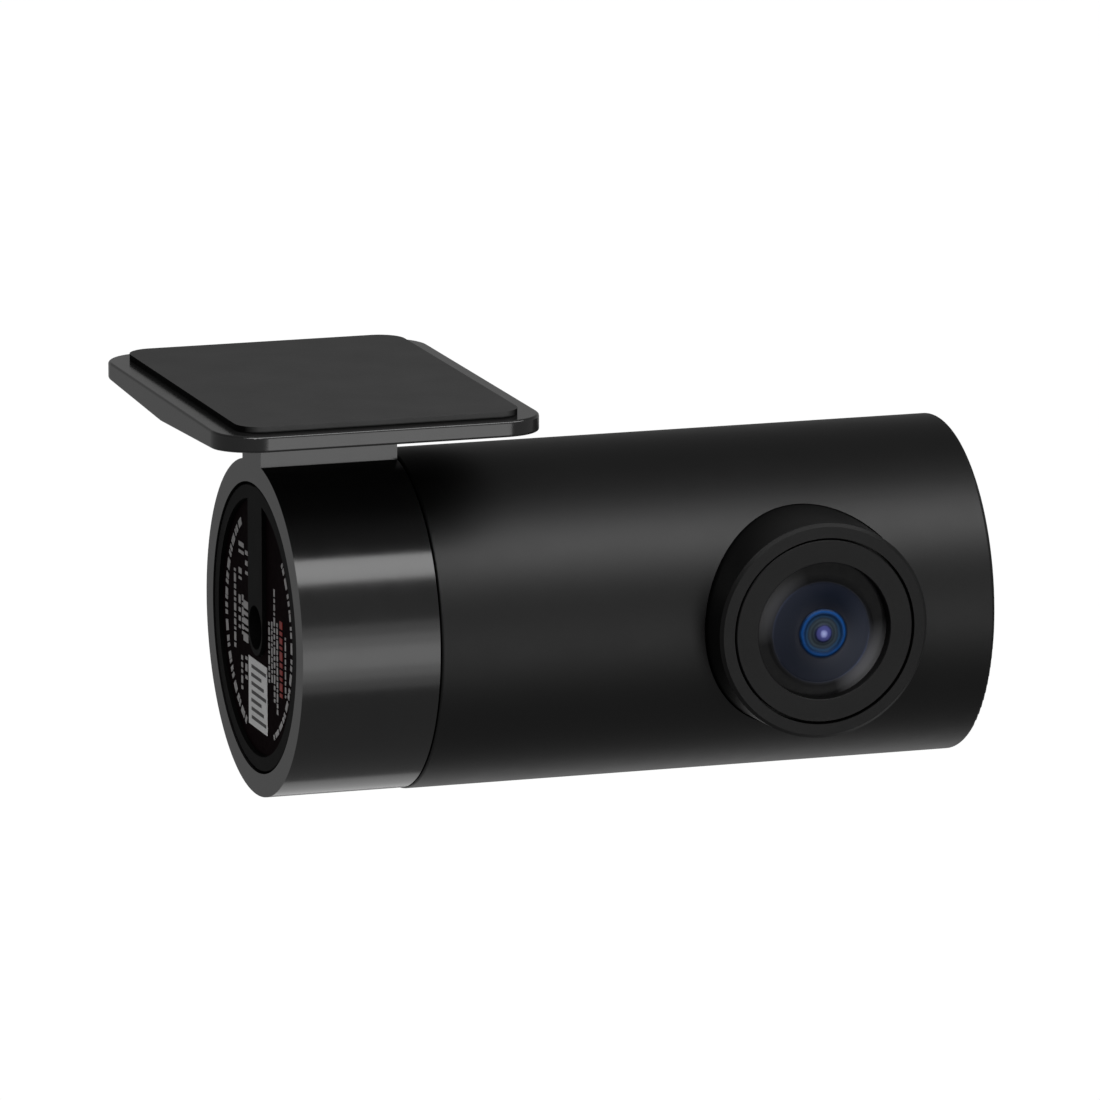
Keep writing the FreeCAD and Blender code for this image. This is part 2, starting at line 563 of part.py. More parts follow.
def lens_group():
    front = "lens_front - trim_low"
    lens_barrel()
    torus("barrel_seal", "lens", "seal_mid_r", "seal_section_r",
          "seal_groove_back + seal_groove_wide / 2")
    ring("barrel_gasket", "lens", "port_r + air", "flange_r", "flange_back + flange_thick",
         "port_boss_back")
    group("barrel_screws", [
        screw("ear_screw%d" % i, "lens", x, "0", "flange_back - small_head", "flange_back",
              "small_head_r", "screw_shaft_r", "ear_screw_end")
        for i, x in enumerate(ear_places())])
    turned("lens_trim_ring", "lens", [
        ("trim_seat_r", "lens_front - trim_back"), ("trim_sleeve_r", "lens_front - trim_back"),
        ("trim_sleeve_r", "lens_front - bezel_seat_deep + air"),
        ("trim_r", "lens_front - bezel_seat_deep + air"), ("trim_r", front + " - trim_bevel"),
        ("trim_r - trim_bevel", front), ("trim_in_r + trim_lip", front),
        ("trim_in_r", front + " - trim_lip"),
        ("trim_in_r", "lens_front - trim_step"), ("trim_seat_r", "lens_front - trim_step")])
    front_lens_element()
    turned("lens_tube", "lens", [
        ("tube_seat_r", "tube_back"), ("tube_low_r", "tube_back"), ("tube_low_r", "tube_step"),
        ("tube_r", "tube_step"), ("tube_r", "tube_front"), ("baffle_seat_r", "tube_front"),
        ("baffle_seat_r", "baffle_back"), ("tube_bore_r", "baffle_back"),
        ("tube_bore_r", "tube_seat"), ("tube_seat_r", "tube_seat")])
    turned("baffle_cone", "lens", [
        ("baffle_small_r", "baffle_back"), ("baffle_r", "baffle_back"), ("baffle_r", "tube_front"),
        ("baffle_wide_r", "tube_front"), ("baffle_small_r", "baffle_back + baffle_edge")])
    keep("rear_lens_element", element("rear_lens_element", "element_r", "rear_back", "rear_front",
                                      "rear_sag", "rear_sag"))
    ring("lens_spacer", "lens", "spacer_in_r", "element_r", "rear_front", "spacer_front")
    keep("third_lens_element", element("third_lens_element", "element_r", "spacer_front",
                                       "third_front", "rear_sag", "element_sag"))
    ring("aperture_stop", "lens", "stop_hole_r", "element_r", "stop_back", "stop_front")
    keep("second_lens_element", element("second_lens_element", "element_r", "second_back",
                                        "second_front", "element_sag", "rear_sag"))
    ring("lens_retaining_ring", "lens", "retainer_in_r", "element_r", "second_front", "retainer_front")


# ---------------------------------------------------------------- sensor stack

def lens_holder():
    """A square block that the lens tube screws into, hollow over the sensor."""
    body = new_body("lens_holder", "lens")
    square = rectangle("-1 * holder_half", "holder_half", "-1 * holder_half", "holder_half")
    block = outline(sketch_on(body, "XY_Plane", "holder_outline", "sensor_board_front"), square)
    pad(body, block, "holder_front - sensor_board_front", "holder_block")
    bore = ring_sketch(sketch_on(body, "XY_Plane", "holder_bore", "holder_seat"), "holder_bore_r")
    pocket(body, bore, "holder_front - holder_seat + overrun", "holder_thread")
    hole = ring_sketch(sketch_on(body, "XY_Plane", "holder_hole", "holder_room"), "holder_hole_r")
    pocket(body, hole, "overrun", "holder_window")
    room = outline(sketch_on(body, "XY_Plane", "holder_room_outline", "sensor_board_front"),
                   rectangle(*half("holder_room_x"), *half("holder_room_y")))
    pocket(body, room, "holder_room - sensor_board_front", "holder_hollow")
    keep("lens_holder", body)


def plate(label, frame, x, y, start, end):
    """A flat rectangular piece padded from a sketch."""
    body = new_body(label, frame)
    shape = outline(sketch_on(body, "XY_Plane", label + "_outline", start), rectangle(*x, *y))
    pad(body, shape, "(%s) - (%s)" % (end, start), label + "_pad")
    return keep(label, body)


def corners(across, up):
    return [(a, b) for a in ("-1 * " + across, across) for b in ("-1 * " + up, up)]


def sensor_stack():
    lens_holder()
    front = "sensor_board_front"
    plate("ir_cut_filter", "lens", ("-1 * filter_half", "filter_half"),
          ("-1 * filter_half", "filter_half"), "holder_room - filter_thick", "holder_room")
    plate("image_sensor", "lens", half("sensor_x"), half("sensor_y"), front, front + " + sensor_thick")
    plate("sensor_cover_glass", "lens", half("cover_x"), half("cover_y"), front + " + sensor_thick",
          front + " + sensor_thick + cover_thick")
    back = front + " - board_thick"
    board = box("sensor_board_blank", "lens", half("sensor_board_x"), half("board_y"), (back, front))
    holes = [cylinder("sensor_hole%d" % i, "lens", "board_hole_r", back + " - overrun",
                      front + " + overrun", x, y)
             for i, (x, y) in enumerate(corners("sensor_screw_x", "screw_y"))]
    keep("sensor_board", cut("sensor_board", board, fuse("sensor_holes", holes)))
    group("sensor_board_screws", [
        screw("sensor_screw%d" % i, "lens", x, y, front + " + small_head", front, "small_head_r",
              "screw_shaft_r", front + " - screw_reach")
        for i, (x, y) in enumerate(corners("sensor_screw_x", "screw_y"))])


# ---------------------------------------------------------------- chassis and main board

def main_screw_places():
    return [(z, y) for z in ("main_screw_one", "main_screw_two") for y in ("-1 * screw_y", "screw_y")]


def flat(name, z, y, depth):
    """A block in the barrel frame: along the body, up, and front to back."""
    return box(name, "barrel", depth, y, z)


def in_lens(z, y):
    """A place along the body and up from the turning axis, told in the lens frame."""
    return "%s - collar_len / 2 - lens_x" % z, "%s - lens_rise" % y


def crosswise_hole(name, radius, z, y, front, back):
    """A round hole along row Y, at a place along the body and up."""
    along, up = in_lens(z, y)
    return cylinder(name, "lens", radius, "-1 * (%s)" % back, "-1 * (%s)" % front, along, up)


def inner_frame():
    """Two rails between two half-round bulkheads."""
    rails = [flat("rail%d" % i, ("rail_start - bite", "rail_end + bite"), side, ("rail_front", "rail_back"))
             for i, side in enumerate((("rail_low", "rail_high"), ("-1 * rail_high", "-1 * rail_low")))]
    ends = []
    for i, (start, end) in enumerate((("bulkhead_start", "rail_start"), ("rail_end", "bulkhead_end"))):
        whole = cylinder("bulkhead_disc%d" % i, "barrel", "bulkhead_r", start, end)
        back = flat("bulkhead_back%d" % i, (start + " - overrun", end + " + overrun"),
                    ("-1 * bulkhead_r", "bulkhead_r"), ("rail_front", "bulkhead_r"))
        ends.append(common("bulkhead%d" % i, [whole, back]))
    gap = flat("bulkhead_gap_block", ("bulkhead_start - overrun", "bulkhead_end + overrun"),
               ("-1 * bulkhead_gap", "bulkhead_gap"), ("rail_front - overrun", "bulkhead_gap_back"))
    holes = [crosswise_hole("rail_pilot%d" % i, "pilot_r", z, y, "0", "rail_back + overrun")
             for i, (z, y) in enumerate(main_screw_places())]
    holes += [cylinder("rail_front_pilot%d" % i, "lens", "pilot_r", "-1 * (rail_front + rail_pilot)",
                       "-1 * rail_front + overrun", x, y)
              for i, (x, y) in enumerate(corners("sensor_screw_x", "screw_y"))]
    solid = fuse("frame_solid", rails + ends)
    keep("inner_frame", cut("inner_frame", solid, fuse("frame_holes", [gap] + holes)))


def main_board():
    """The long board with a tongue that reaches the cable socket."""
    depth = ("rail_back", "rail_back + board_thick")
    wide = flat("main_board_wide", ("main_start", "main_end"), half("board_y"), depth)
    tongue = flat("main_board_tongue", ("tongue_start", "main_start + bite"),
                  ("-1 * tongue_half", "tongue_half"), depth)
    holes = [crosswise_hole("main_hole%d" % i, "board_hole_r", z, y, "rail_back - overrun",
                            "rail_back + board_thick + overrun")
             for i, (z, y) in enumerate(main_screw_places())]
    solid = fuse("main_board_solid", [wide, tongue])
    keep("main_board", cut("main_board", solid, fuse("main_holes", holes)))


def heat_spreader():
    """A thin plate over the processor, standing on four legs."""
    low = "rail_back + board_thick"
    face = low + " + chip_thick + thermal_thick"
    sheet_part = flat("spreader_sheet", ("spreader_start", "spreader_end"),
                      ("-1 * spreader_half", "spreader_half"), (face, face + " + spreader_thick"))
    legs = []
    for i, z in enumerate(("spreader_start + leg_in", "spreader_end - leg_in - leg_size")):
        for k, y in enumerate(("-1 * spreader_half", "spreader_half - leg_size")):
            legs.append(flat("spreader_leg%d%d" % (i, k), (z, z + " + leg_size"),
                             (y, y + " + leg_size"), (low, face + " + bite")))
    keep("heat_spreader", fuse("heat_spreader", [sheet_part] + legs))


def chassis():
    inner_frame()
    main_board()
    heat_spreader()
    low = "rail_back + board_thick"
    chip = ("chip_mid - chip_half", "chip_mid + chip_half")
    square = ("-1 * chip_half", "chip_half")
    keep("image_processor", flat("image_processor", chip, square, (low, low + " + chip_thick")))
    keep("thermal_pad", flat("thermal_pad", chip, square,
                             (low + " + chip_thick", low + " + chip_thick + thermal_thick")))
    memory = ("memory_mid - memory_wide / 2", "memory_mid + memory_wide / 2")
    keep("memory_chip", flat("memory_chip", memory, square, (low, low + " + memory_thick")))
    small = []
    for i in range(int(number("part_count"))):
        z = "part_start + part_pitch * %d" % i
        for k, y in enumerate(("part_row", "-1 * part_row - part_wide")):
            small.append(flat("small_part%d%d" % (i, k), (z, z + " + part_long"),
                              (y, y + " + part_wide"), (low, low + " + part_tall")))
    group("board_parts", small)
    keep("board_connector", box("board_connector", "lens", half("link_wide"),
                                ("-1 * link_below", "link_tall - link_below"),
                                ("-1 * rail_back", "-1 * rail_front")))
    screws = []
    for i, (z, y) in enumerate(main_screw_places()):
        along, up = in_lens(z, y)
        head = "-1 * (%s)" % low
        screws.append(screw("board_screw%d" % i, "lens", along, up, head + " - small_head", head,
                            "small_head_r", "screw_shaft_r", head + " + screw_reach"))
    group("board_screws", screws)


# ---------------------------------------------------------------- cable socket

def cable_socket():
    """A round-hole socket on the board's tongue, with its nose in the cap's hole."""
    side = ("-1 * jack_half", "jack_half")
    block = flat("jack_block", ("jack_start", "jack_end"), side, ("-1 * jack_half", "rail_back"))
    nose = cylinder("jack_nose_part", "barrel", "jack_nose_r", "jack_nose", "jack_start + bite")
    bore = cylinder("jack_bore", "barrel", "jack_bore_r", "0", "jack_bore_end")
    keep("jack_socket", cut("jack_socket", fuse("jack_solid", [block, nose]), bore))
    strips = []
    for i in range(int(number("contact_count"))):
        z = "contact_start + contact_pitch * %d" % i
        strips.append(flat("contact%d" % i, (z, z + " + contact_long"),
                           ("jack_half", "jack_half + contact_thick"),
                           ("-1 * contact_wide / 2", "contact_wide / 2")))
    group("socket_contacts", strips)


def check_document():
    doc.recompute()
    for item in doc.Objects:
        bad = [state for state in item.State if state in ("Invalid", "Error")]
        if bad:
            raise RuntimeError("%s is %s" % (item.Name, bad))
    for label, item in parts.items():
        if item.Shape.isNull() or not item.Shape.isValid() or item.Shape.Volume <= 0:
            raise RuntimeError("%s has no valid shape" % label)


def main():
    mount_bracket()
    adhesive_pad()
    body_parts()
    lens_group()
    sensor_stack()
    chassis()
    cable_socket()
    check_document()
    os.makedirs("parts", exist_ok=True)
    for label, item in parts.items():
        item.Shape.exportStep("parts/%s.step" % label)
        print("%-22s %8.1f mm3, solids %d" % (label, item.Shape.Volume, len(item.Shape.Solids)))


main()
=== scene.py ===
import json
import math
import bmesh
import bpy
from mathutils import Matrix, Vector


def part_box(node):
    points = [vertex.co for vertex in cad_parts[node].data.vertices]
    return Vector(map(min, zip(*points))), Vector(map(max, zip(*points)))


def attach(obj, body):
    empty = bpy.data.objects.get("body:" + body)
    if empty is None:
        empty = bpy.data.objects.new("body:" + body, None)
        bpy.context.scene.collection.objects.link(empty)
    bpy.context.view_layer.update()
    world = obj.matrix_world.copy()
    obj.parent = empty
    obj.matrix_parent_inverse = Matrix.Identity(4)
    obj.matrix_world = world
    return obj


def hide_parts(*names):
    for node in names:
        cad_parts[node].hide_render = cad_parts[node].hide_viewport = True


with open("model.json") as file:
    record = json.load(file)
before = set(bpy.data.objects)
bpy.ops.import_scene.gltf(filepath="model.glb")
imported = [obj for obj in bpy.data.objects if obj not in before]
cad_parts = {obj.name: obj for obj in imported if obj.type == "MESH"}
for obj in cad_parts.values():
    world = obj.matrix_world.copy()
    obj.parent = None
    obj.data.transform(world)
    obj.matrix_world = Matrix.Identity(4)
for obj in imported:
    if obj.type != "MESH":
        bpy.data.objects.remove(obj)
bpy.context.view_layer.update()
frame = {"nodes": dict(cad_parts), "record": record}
NODES = frame["nodes"]
MM = 0.001

# ---------------------------------------------------------------- places read from the frame

housing_low, housing_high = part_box("main_housing")
label_low, label_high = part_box("rating_label")
glass_low, glass_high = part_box("front_lens_element")
AXIS_Z = (housing_low.z + housing_high.z) / 2
MIDDLE = Vector(((housing_low.x + housing_high.x) / 2, 0, AXIS_Z))
LENS_X = (glass_low.x + glass_high.x) / 2
LENS_Z = (glass_low.z + glass_high.z) / 2
# The coloured rings sit a little off the lens axis.
OPTICS_X = LENS_X + 0.05 * MM
OPTICS_Z = LENS_Z - 0.32 * MM


# ---------------------------------------------------------------- node helpers

class Nodes:
    """A short way to write a material's or the world's node tree."""

    def __init__(self, tree):
        self.tree = tree
        self.tree.nodes.clear()

    def add(self, kind, inputs=None, **settings):
        node = self.tree.nodes.new(kind)
        for name, setting in settings.items():
            setattr(node, name, setting)
        for name, source in (inputs or {}).items():
            self.feed(node.inputs[name], source)
        return node

    def feed(self, socket, source):
        if isinstance(source, bpy.types.NodeSocket):
            self.tree.links.new(source, socket)
        else:
            socket.default_value = source

    def ramp(self, source, stops, interpolation="LINEAR"):
        node = self.add("ShaderNodeValToRGB", {"Fac": source})
        node.color_ramp.interpolation = interpolation
        elements = node.color_ramp.elements
        while len(elements) < len(stops):
            elements.new(0.5)
        for element, (place, colour) in zip(elements, stops):
            element.position = place
            element.color = (*colour, 1) if len(colour) == 3 else colour
        return node.outputs["Color"]

    def noise(self, vector, size_mm, detail=3.0, roughness=0.5, distortion=0.0):
        """Noise whose lumps are about size_mm across."""
        node = self.add("ShaderNodeTexNoise", {
            "Vector": vector, "Scale": 1 / (size_mm * MM), "Detail": detail,
            "Roughness": roughness, "Distortion": distortion})
        return node.outputs["Fac"]

    def span(self, source, low, high, from_low=0.3, from_high=0.7):
        node = self.add("ShaderNodeMapRange", {
            "Value": source, "From Min": from_low, "From Max": from_high,
            "To Min": low, "To Max": high})
        return node.outputs["Result"]

    def bump(self, height, depth_mm, strength=1.0, normal=None):
        inputs = {"Height": height, "Distance": depth_mm * MM, "Strength": strength}
        if normal:
            inputs["Normal"] = normal
        return self.add("ShaderNodeBump", inputs).outputs["Normal"]

    def math(self, operation, a, b=0.0):
        node = self.add("ShaderNodeMath", operation=operation)
        self.feed(node.inputs[0], a)
        self.feed(node.inputs[1], b)
        return node.outputs[0]

    def vector_math(self, operation, a, b):
        node = self.add("ShaderNodeVectorMath", operation=operation)
        self.feed(node.inputs[0], a)
        self.feed(node.inputs[1], b)
        return node.outputs[0]

    def scaled(self, vector, factor):
        node = self.add("ShaderNodeVectorMath", {"Scale": factor}, operation="SCALE")
        self.feed(node.inputs[0], vector)
        return node.outputs[0]


def new_material(name):
    material = bpy.data.materials.new(name)
    material.use_nodes = True
    return material, Nodes(material.node_tree)


def shade(nodes, **sockets):
    """The Principled shader that ends a material; sockets are named with underscores."""
    inputs = {name.replace("_", " "): source for name, source in sockets.items()}
    shader = nodes.add("ShaderNodeBsdfPrincipled", inputs)
    nodes.add("ShaderNodeOutputMaterial", {"Surface": shader.outputs["BSDF"]})


def grey(level, tint=(1.0, 1.0, 1.0)):
    return tuple(level * part for part in tint)


def moulded(name, level, rough, tint=(1, 1, 1), grain_mm=0.16, grain_depth=0.004,
            rough_spread=0.05, mottle=0.18, specular=0.5):
    """Moulded plastic: spark-eroded grain, faint flow mottling and uneven gloss."""
    material, n = new_material(name)
    place = n.add("ShaderNodeTexCoord").outputs["Object"]
    flow = n.noise(place, 9.0, 2.0, distortion=0.6)
    colour = n.ramp(flow, [(0.3, grey(level * (1 - mottle), tint)),
                           (0.7, grey(level * (1 + mottle), tint))])
    fine = n.noise(place, grain_mm, 4.0, 0.62)
    cloud = n.noise(place, 2.4, 3.0)
    uneven = n.math("ADD", n.math("MULTIPLY", cloud, 0.7), n.math("MULTIPLY", fine, 0.3))
    shade(n, Base_Color=colour, Roughness=n.span(uneven, rough - rough_spread, rough + rough_spread),
          Normal=n.bump(fine, grain_depth), Specular_IOR_Level=specular)
    return material


def foam(name):
    """Closed-cell acrylic foam: matt, with fine open cells, painted shade on the faces that point left and
    right, and a painted contact shadow along its base.
    """
    material, n = new_material(name)
    place = n.add("ShaderNodeTexCoord").outputs["Object"]
    cells = n.add("ShaderNodeTexVoronoi", {"Vector": place, "Scale": 1 / (0.22 * MM)}).outputs["Distance"]
    nap = n.noise(place, 0.5, 5.0, 0.6)
    cloud = n.noise(place, 6.0, 2.0)
    face = n.ramp(n.math("ADD", n.math("MULTIPLY", cloud, 0.6), n.math("MULTIPLY", nap, 0.4)),
                  [(0.3, grey(0.043)), (0.7, grey(0.051))])
    normal = n.add("ShaderNodeNewGeometry").outputs["Normal"]
    # Painted shade: the faces that point left and right are darkened; the front face stays as light as the
    # top.
    painted_shade_facing = n.math("ABSOLUTE", n.add("ShaderNodeSeparateXYZ", {"Vector": normal}).outputs["X"])
    height = n.add("ShaderNodeSeparateXYZ", {"Vector": place}).outputs["Z"]
    # Painted contact shadow: a dark band along the pad's base, fading out upwards.
    painted_contact_shadow = n.span(height, 1.0, 0.0, -0.52 * MM, -0.36 * MM)
    # Where the painted shade and the painted contact shadow darken the foam.
    dark = n.math("MAXIMUM", n.span(painted_shade_facing, 0.0, 1.0, 0.35, 0.8), painted_contact_shadow)
    colour = n.add("ShaderNodeMix", {"Factor": dark}, data_type="RGBA")
    n.feed(colour.inputs[6], face)
    n.feed(colour.inputs[7], (*grey(0.0015), 1))
    pores = n.bump(cells, 0.006)
    shade(n, Base_Color=colour.outputs[2], Roughness=n.span(nap, 0.82, 0.95), Specular_IOR_Level=0.05,
          Normal=n.bump(nap, 0.012, 1.0, pores))
    return material


def metal(name, colour, rough):
    """Plated or rolled metal with fine directional scratches."""
    material, n = new_material(name)
    place = n.add("ShaderNodeTexCoord").outputs["Object"]
    long = n.add("ShaderNodeMapping", {"Vector": place, "Scale": (0.08, 1.0, 1.0)}).outputs["Vector"]
    brush = n.noise(long, 0.05, 4.0)
    tone = n.ramp(brush, [(0.3, tuple(0.85 * c for c in colour)), (0.7, colour)])
    shade(n, Base_Color=tone, Metallic=1.0, Roughness=n.span(brush, rough - 0.07, rough + 0.07),
          Normal=n.bump(brush, 0.002))
    return material


def clear_glass(name, tint, ior):
    """Polished optical glass with faint dust."""
    material, n = new_material(name)
    place = n.add("ShaderNodeTexCoord").outputs["Object"]
    dust = n.noise(place, 0.35, 6.0, 0.7)
    shade(n, Base_Color=(*tint, 1), Transmission_Weight=1.0, IOR=ior,
          Roughness=n.span(dust, 0.01, 0.03, 0.55, 0.8), Specular_IOR_Level=0.5)
    return material


def from_lens_axis(n):
    """The place, and the way across, the way up and the distance from the optics' middle, in mm."""
    place = n.add("ShaderNodeTexCoord").outputs["Object"]
    part = n.add("ShaderNodeSeparateXYZ", {"Vector": place})
    across = n.math("DIVIDE", n.math("SUBTRACT", part.outputs["X"], OPTICS_X), MM)
    above = n.math("DIVIDE", n.math("SUBTRACT", part.outputs["Z"], OPTICS_Z), MM)
    square = n.math("ADD", n.math("MULTIPLY", across, across), n.math("MULTIPLY", above, above))
    return place, across, above, n.math("SQRT", square)


# The coating's colours, partly painted: a painted highlight in the middle out to about 0.4 mm, painted
# reflections of the coatings in the coloured rings out to 2.34 mm, then the slate cone and the blackened
# rim: (distance from the optics' middle in mm, colour).
COATING_AND_PAINTED_REFLECTIONS = [
    (0.00, (0.300, 0.340, 0.560)), (0.24, (0.200, 0.220, 0.460)), (0.40, (0.055, 0.060, 0.200)),
    (0.66, (0.040, 0.044, 0.150)), (0.80, (0.010, 0.014, 0.040)), (0.94, (0.026, 0.036, 0.048)),
    (1.08, (0.014, 0.020, 0.026)), (1.26, (0.024, 0.036, 0.046)), (1.42, (0.010, 0.018, 0.030)),
    (1.60, (0.014, 0.040, 0.085)), (1.74, (0.004, 0.016, 0.045)), (1.88, (0.004, 0.024, 0.080)),
    (2.06, (0.005, 0.050, 0.190)), (2.20, (0.003, 0.018, 0.060)), (2.34, (0.002, 0.003, 0.008)),
    (3.40, (0.004, 0.006, 0.012)), (4.66, (0.008, 0.010, 0.018)), (4.80, (0.008, 0.008, 0.009)),
    (6.55, (0.012, 0.012, 0.012)),
]
# Tint of the painted light on the slate cone.
PAINTED_LIGHT_TINT = (0.95, 1.0, 1.2)
GLASS_R = 6.55
# Angles of the pair of painted highlights on the rim and of the side where the painted light is brightest.
PAINTED_HIGHLIGHT_ANGLE = math.radians(147)
PAINTED_LIGHT_ANGLE = math.radians(300)
RING_EDGE = (2.3, 2.5)
RIM_EDGE = (4.5, 5.0)


def optics_with_painted_reflections(name):
    """The coated elements under the front glass: rings of violet, grey-green and blue that are painted
    reflections of the coatings, with a painted highlight in the middle, then the slate blue of the cone with
    painted light that makes it brighter low down, and the blackened rim with painted highlights in two
    opposite sectors."""
    material, n = new_material(name)
    place, across, above, reach = from_lens_axis(n)
    wobble = n.span(n.noise(place, 0.9, 3.0), -0.04, 0.04)
    rings = n.ramp(n.math("DIVIDE", n.math("ADD", reach, wobble), GLASS_R),
                   [(radius / GLASS_R, colour) for radius, colour in COATING_AND_PAINTED_REFLECTIONS])
    # Painted light: a pair of painted highlights in opposite sectors, and a side, down and a little right,
    # where the painted light is brightest.
    painted_highlight_pair = opposite_sectors(n, across, above, reach)
    painted_light_side = leaning(n, across, above, reach)
    rim = n.span(reach, 0.0, 1.0, *RIM_EDGE)
    # Painted highlights on the rim: brighter in two opposite sectors, most of all low on the right.
    painted_rim_highlights = n.math("MULTIPLY", n.span(painted_highlight_pair, 0.3, 4.8, 0.1, 1.0), n.span(painted_light_side, 0.9, 1.7, 0.3, 1.0))
    rim_highlight_gain = n.add("ShaderNodeMix", {"Factor": rim}, data_type="FLOAT")
    n.feed(rim_highlight_gain.inputs[2], 1.0)
    n.feed(rim_highlight_gain.inputs[3], painted_rim_highlights)
    # Painted light on the slate cone: brighter low down and a little right, with some of the paired painted
    # highlights; ring and rim are left out.
    painted_cone_light = n.math("ADD", n.span(painted_light_side, 0.0, 0.020, -1.0, 1.0), n.math("MULTIPLY", painted_highlight_pair, 0.006))
    on_cone = n.math("SUBTRACT", n.span(reach, 0.0, 1.0, *RING_EDGE), rim)
    painted_cone_light_colour = n.scaled(PAINTED_LIGHT_TINT, n.math("MULTIPLY", painted_cone_light, on_cone))
    tone = n.vector_math("ADD", n.scaled(rings, rim_highlight_gain.outputs[0]), painted_cone_light_colour)
    shade(n, Base_Color=n.vector_math("MAXIMUM", tone, (0.0, 0.0, 0.0)),
          Roughness=n.span(n.noise(place, 0.6, 4.0), 0.36, 0.44),
          Specular_IOR_Level=0.06, Coat_Weight=0.03, Coat_Roughness=0.04)
    return material


def opposite_sectors(n, across, above, reach):
    """1 along the angle of the painted highlights and opposite to it, and -1 at right angles to it."""
    even = n.math("MULTIPLY", n.math("SUBTRACT", n.math("MULTIPLY", across, across),
                                     n.math("MULTIPLY", above, above)), math.cos(2 * PAINTED_HIGHLIGHT_ANGLE))
    cross = n.math("MULTIPLY", n.math("MULTIPLY", across, above), 2 * math.sin(2 * PAINTED_HIGHLIGHT_ANGLE))
    square = n.math("MAXIMUM", n.math("MULTIPLY", reach, reach), 0.01)
    return n.math("DIVIDE", n.math("ADD", even, cross), square)


def leaning(n, across, above, reach):
    """1 along the angle of the painted light, which is down and a little right, and -1 opposite to it."""
    along = n.math("ADD", n.math("MULTIPLY", across, math.cos(PAINTED_LIGHT_ANGLE)),
                   n.math("MULTIPLY", above, math.sin(PAINTED_LIGHT_ANGLE)))
    return n.math("DIVIDE", along, n.math("MAXIMUM", reach, 0.1))


def blackened(name):
    """Anodised black metal inside the lens, with fine turned grooves."""
    material, n = new_material(name)
    place, across, above, reach = from_lens_axis(n)
    groove = n.math("SINE", n.math("MULTIPLY", reach, 60.0))
    cloud = n.noise(place, 1.6, 3.0)
    tone = n.ramp(cloud, [(0.3, (0.006, 0.007, 0.010)), (0.7, (0.010, 0.011, 0.014))])
    shade(n, Base_Color=tone, Roughness=n.span(cloud, 0.42, 0.52), Specular_IOR_Level=0.3,
          Normal=n.bump(groove, 0.002))
    return material


def printed_film(name):
    """The label's dark film: a maroon-black ink coat, matt, with a fine peel."""
    material, n = new_material(name)
    place = n.add("ShaderNodeTexCoord").outputs["Object"]
    peel = n.noise(place, 0.6, 3.0)
    cover = n.noise(place, 4.0, 2.0)
    colour = n.ramp(cover, [(0.3, (0.0040, 0.0014, 0.0022)), (0.7, (0.0058, 0.0024, 0.0032))])
    shade(n, Base_Color=colour, Roughness=n.span(peel, 0.62, 0.72), Specular_IOR_Level=0.01,
          Normal=n.bump(peel, 0.003))
    return material


def ink(name, colour):
    """Screen-printed ink with slightly uneven cover."""
    material, n = new_material(name)
    place = n.add("ShaderNodeTexCoord").outputs["Object"]
    cover = n.noise(place, 0.12, 4.0, 0.7)
    tone = n.ramp(cover, [(0.25, tuple(0.7 * c for c in colour)), (0.6, colour)])
    shade(n, Base_Color=tone, Roughness=n.span(cover, 0.45, 0.6))
    return material


def board_green(name):
    material, n = new_material(name)
    place = n.add("ShaderNodeTexCoord").outputs["Object"]
    track = n.add("ShaderNodeTexBrick", {
        "Vector": place, "Scale": 1 / (2.2 * MM), "Color1": (0.010, 0.055, 0.030, 1),
        "Color2": (0.012, 0.070, 0.036, 1), "Mortar": (0.03, 0.13, 0.07, 1)})
    shade(n, Base_Color=track.outputs["Color"], Roughness=n.span(n.noise(place, 0.8), 0.25, 0.4))
    return material


# ---------------------------------------------------------------- materials of the CAD nodes

MATERIALS = {
    "bracket_plastic": moulded("bracket_semigloss", 0.011, 0.16, grain_mm=0.3, grain_depth=0.0012,
                               rough_spread=0.02, mottle=0.06),
    "foam_tape": foam("foam_pad"),
    "housing_plastic": moulded("housing_satin", 0.0025, 0.45, rough_spread=0.015, mottle=0.10,
                               specular=0.30),
    "cap_plastic": moulded("cap_satin", 0.0035, 0.55, rough_spread=0.02, mottle=0.10, specular=0.04),
    "label_film": printed_film("label_ink_coat"),
    "bezel_plastic": moulded("bezel_satin", 0.0018, 0.42, grain_mm=0.12, rough_spread=0.015,
                             mottle=0.10, specular=0.22),
    "trim_plastic": moulded("trim_satin", 0.0025, 0.42, grain_mm=0.12, rough_spread=0.015,
                            mottle=0.10, specular=0.18),
    "front_glass": optics_with_painted_reflections("front_glass_painted_reflections"),
    "coated_glass": clear_glass("blue_coated_glass", (0.5, 0.7, 1.0), 1.60),
    "filter_glass": clear_glass("filter_glass", (0.7, 0.9, 0.95), 1.52),
    "lens_black": blackened("lens_black"),
    "seal_rubber": moulded("seal_rubber", 0.012, 0.6),
    "screw_steel": metal("screw_steel", (0.5, 0.5, 0.51), 0.3),
    "circuit_board": board_green("board_green"),
    "chip_black": moulded("chip_black", 0.02, 0.55),
    "part_ceramic": moulded("part_ceramic", 0.3, 0.5, (1.0, 0.8, 0.55)),
    "thermal_gel": moulded("thermal_gel", 0.3, 0.6, (0.8, 0.9, 1.0)),
    "spreader_aluminium": metal("spreader_aluminium", (0.75, 0.75, 0.76), 0.35),
    "frame_plastic": moulded("frame_plastic", 0.03, 0.5),
    "socket_plastic": moulded("socket_plastic", 0.0012, 0.6, specular=0.02),
    "contact_brass": metal("contact_brass", (0.8, 0.6, 0.25), 0.25),
}


def dress_nodes():
    for entry in frame["record"]["subparts"]:
        node = NODES[entry["node"]]
        for place in node.material_slots:
            place.material = MATERIALS[entry["material_slot"]]


